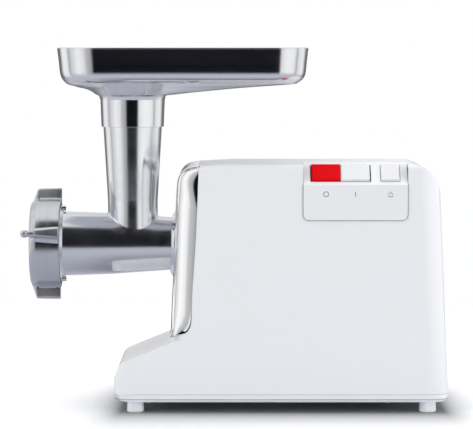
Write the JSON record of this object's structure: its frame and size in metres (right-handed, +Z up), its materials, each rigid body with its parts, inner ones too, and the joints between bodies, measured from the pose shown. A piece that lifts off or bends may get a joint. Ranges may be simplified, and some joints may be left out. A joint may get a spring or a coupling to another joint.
{
  "type": "electric meat grinder",
  "caption": "White countertop electric meat grinder with a metal grinding head, feed tray, chromed faceplate and side control panel.",
  "frame": {"origin": "on the surface it stands on, below the middle of its overall length and width", "axes": "+X along the machine from the grinding head at -X to the rear, +Y to the left side away from the control panel, +Z up"},
  "size_m": [0.421, 0.17, 0.357],
  "materials": {
    "white_plastic": "gloss white moulding",
    "base_plastic": "light grey white moulding",
    "chromed_plate": "mirror chrome over plastic",
    "panel_plastic": "gloss white moulding",
    "dark_plastic": "black moulding",
    "spring_steel": "drawn wire",
    "foot_rubber": "pale soft rubber",
    "zinc_screw": "zinc plated",
    "zinc_sheet": "galvanised sheet",
    "cast_box": "as cast",
    "sintered_bronze": "oil filled sinter",
    "seal_rubber": "black rubber",
    "bearing_steel": "ground",
    "lamination_steel": "stacked sheet",
    "copper_wire": "varnished wire",
    "brush_brass": "pressed sheet",
    "carbon": "pressed carbon",
    "gland_plastic": "white moulding",
    "knob_plastic": "white moulding",
    "red_key": "gloss red moulding",
    "white_key": "gloss white moulding",
    "commutator_copper": "turned copper",
    "fan_plastic": "grey moulding",
    "gear_steel": "hobbed and oiled",
    "gear_nylon": "cream nylon",
    "cast_aluminium": "polished casting",
    "bush_nylon": "white nylon",
    "auger_cast": "tumbled casting",
    "knife_steel": "ground",
    "plate_steel": "ground face",
    "ring_aluminium": "polished casting",
    "tray_aluminium": "brushed and polished sheet"
  },
  "bodies": {
    "machine": {"upper_housing": "white_plastic", "base_plate": "base_plastic", "faceplate": "chromed_plate", "control_panel": "panel_plastic", "switch_body": "dark_plastic", "breaker_body": "dark_plastic", "breaker_spring": "spring_steel", "foot_front_right": "foot_rubber", "foot_front_left": "foot_rubber", "foot_rear_right": "foot_rubber", "foot_rear_left": "foot_rubber", "foot_screws": "zinc_screw", "base_screws": "zinc_screw", "gearbox_housing": "cast_box", "gearbox_cover": "cast_box", "gearbox_screws": "zinc_screw", "gearbox_bracket": "zinc_sheet", "layshaft_bushes": "sintered_bronze", "output_bush_front": "sintered_bronze", "output_bush_rear": "sintered_bronze", "output_seal": "seal_rubber", "motor_bearing_front": "bearing_steel", "motor_bearing_rear": "bearing_steel", "stator_core": "lamination_steel", "field_coils": "copper_wire", "motor_rear_bracket": "dark_plastic", "motor_bolts": "zinc_screw", "brush_holders": "brush_brass", "carbon_brushes": "carbon", "brush_springs": "spring_steel", "motor_support": "seal_rubber", "cord_gland": "gland_plastic"},
    "lock": {"lock_knob": "knob_plastic", "lock_screw": "zinc_screw"},
    "rocker": {"rocker_red_key": "red_key", "rocker_white_key": "white_key", "rocker_pin": "spring_steel"},
    "breaker": {"breaker_button": "white_key"},
    "motor": {"motor_shaft": "bearing_steel", "armature_core": "lamination_steel", "armature_windings": "copper_wire", "commutator": "commutator_copper", "cooling_fan": "fan_plastic", "motor_pinion": "gear_steel"},
    "first_stage": {"first_layshaft": "bearing_steel", "first_gear": "gear_nylon", "second_pinion": "gear_steel"},
    "second_stage": {"second_layshaft": "bearing_steel", "second_gear": "gear_steel", "third_pinion": "gear_steel"},
    "output": {"output_shaft": "bearing_steel", "output_gear": "gear_steel"},
    "head": {"grinder_head": "cast_aluminium", "auger_bush": "bush_nylon", "plate_key": "spring_steel"},
    "screw_feed": {"auger": "auger_cast", "cutting_knife": "knife_steel"},
    "plate": {"grinding_plate": "plate_steel"},
    "ring": {"ring_nut": "ring_aluminium"},
    "tray": {"feed_tray": "tray_aluminium"}
  },
  "joints": [
    {"name": "output_spin", "type": "hinge", "parent": "machine", "child": "output", "pos_m": [0, 0, 0.1614], "axis": [1, 0, 0], "continuous": true},
    {"name": "second_stage_spin", "type": "hinge", "parent": "machine", "child": "second_stage", "pos_m": [0, 0.01077, 0.1127], "axis": [1, 0, 0], "continuous": true},
    {"name": "first_stage_spin", "type": "hinge", "parent": "machine", "child": "first_stage", "pos_m": [0, -0.02838, 0.10187], "axis": [1, 0, 0], "continuous": true},
    {"name": "motor_spin", "type": "hinge", "parent": "machine", "child": "motor", "pos_m": [0, 0, 0.082], "axis": [1, 0, 0], "continuous": true},
    {"name": "head_slide", "type": "slide", "parent": "machine", "child": "head", "axis": [-1, 0, 0], "range_m": [0, 0.08]},
    {"name": "auger_spin", "type": "hinge", "parent": "head", "child": "screw_feed", "pos_m": [-0.1, 0, 0.1614], "axis": [1, 0, 0], "continuous": true},
    {"name": "plate_slide", "type": "slide", "parent": "head", "child": "plate", "axis": [-1, 0, 0], "range_m": [0, 0.0061]},
    {"name": "ring_turn", "type": "hinge", "parent": "plate", "child": "ring", "pos_m": [-0.19, 0, 0.1614], "axis": [-1, 0, 0], "range_deg": [0, 720]},
    {"name": "tray_lift", "type": "slide", "parent": "head", "child": "tray", "axis": [0, 0, 1], "range_m": [0, 0.06]},
    {"name": "lock_turn", "type": "hinge", "parent": "machine", "child": "lock", "pos_m": [-0.031, 0.06, 0.1614], "axis": [0, 1, 0], "range_deg": [0, 360]},
    {"name": "rocker_rock", "type": "hinge", "parent": "machine", "child": "rocker", "pos_m": [0.1036, -0.05803, 0.23213], "axis": [0, 0.7071, 0.7071], "range_deg": [-7, 7]},
    {"name": "breaker_push", "type": "slide", "parent": "machine", "child": "breaker", "axis": [0, 0.7071, -0.7071], "range_m": [0, 0.003], "stiffness_N_per_m": 600, "springref_m": -0.001}
  ],
  "couplings": [
    {"joint": "second_stage_spin", "follows": "output_spin", "ratio": -3.75},
    {"joint": "first_stage_spin", "follows": "output_spin", "ratio": 15},
    {"joint": "motor_spin", "follows": "output_spin", "ratio": -67.5},
    {"joint": "auger_spin", "follows": "output_spin", "ratio": 1},
    {"joint": "plate_slide", "follows": "ring_turn", "m_per_rad": 0.00047746}
  ]
}
